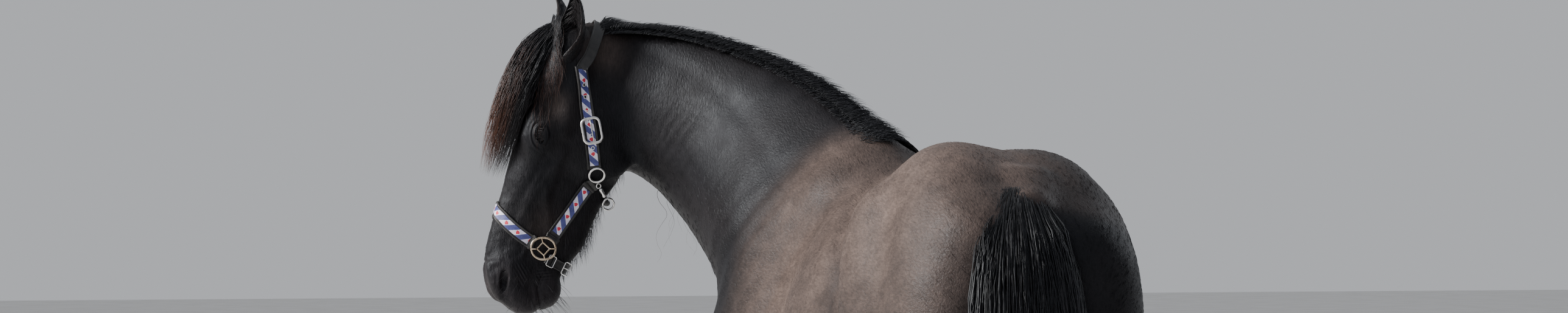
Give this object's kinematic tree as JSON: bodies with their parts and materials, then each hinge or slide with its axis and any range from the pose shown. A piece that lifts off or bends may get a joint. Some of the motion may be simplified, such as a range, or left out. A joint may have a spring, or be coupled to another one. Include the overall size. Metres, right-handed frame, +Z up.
{
  "type": "friesian horse",
  "caption": "Life-size friesian horse standing square with its neck bent and its head low to the left, long mane, tail and feathered feet, wearing a webbing halter.",
  "frame": {"origin": "on the floor under the middle of the horse's outline box", "axes": "+X forward along the trunk, +Y to the horse's left, +Z up"},
  "size_m": [2.0954, 1.153, 1.9345],
  "materials": {
    "coat": "short glossy black hair, dusty brown on the back and flanks",
    "hair": "long glossy black hair, rusty brown at the sun-bleached tips",
    "horn": "dark hoof horn, faintly ringed",
    "eye": "wet dark brown eye",
    "webbing": "black padding with a woven blue and white striped ribbon",
    "steel": "worn nickel-plated steel"
  },
  "bodies": {
    "root": {"ear_left": "coat", "ear_right": "coat", "eye_left": "eye", "eye_right": "eye", "feather_front_left": "hair", "feather_front_right": "hair", "feather_hind_left": "hair", "feather_hind_right": "hair", "foreleg_left": "coat", "foreleg_right": "coat", "forelock": "hair", "halter_buckle": "steel", "halter_cheek_left": "webbing", "halter_cheek_right": "webbing", "halter_chin": "webbing", "halter_chin_buckle": "steel", "halter_crown": "webbing", "halter_nose": "webbing", "halter_ring_left": "steel", "halter_ring_right": "steel", "halter_side_left": "webbing", "halter_side_right": "webbing", "halter_snap": "steel", "halter_square_left": "steel", "halter_square_right": "steel", "halter_throat": "webbing", "head": "coat", "hindleg_left": "coat", "hindleg_right": "coat", "hoof_front_left": "horn", "hoof_front_right": "horn", "hoof_hind_left": "horn", "hoof_hind_right": "horn", "mane": "hair", "neck": "coat", "tail": "hair", "trunk": "coat"}
  },
  "joints": []
}
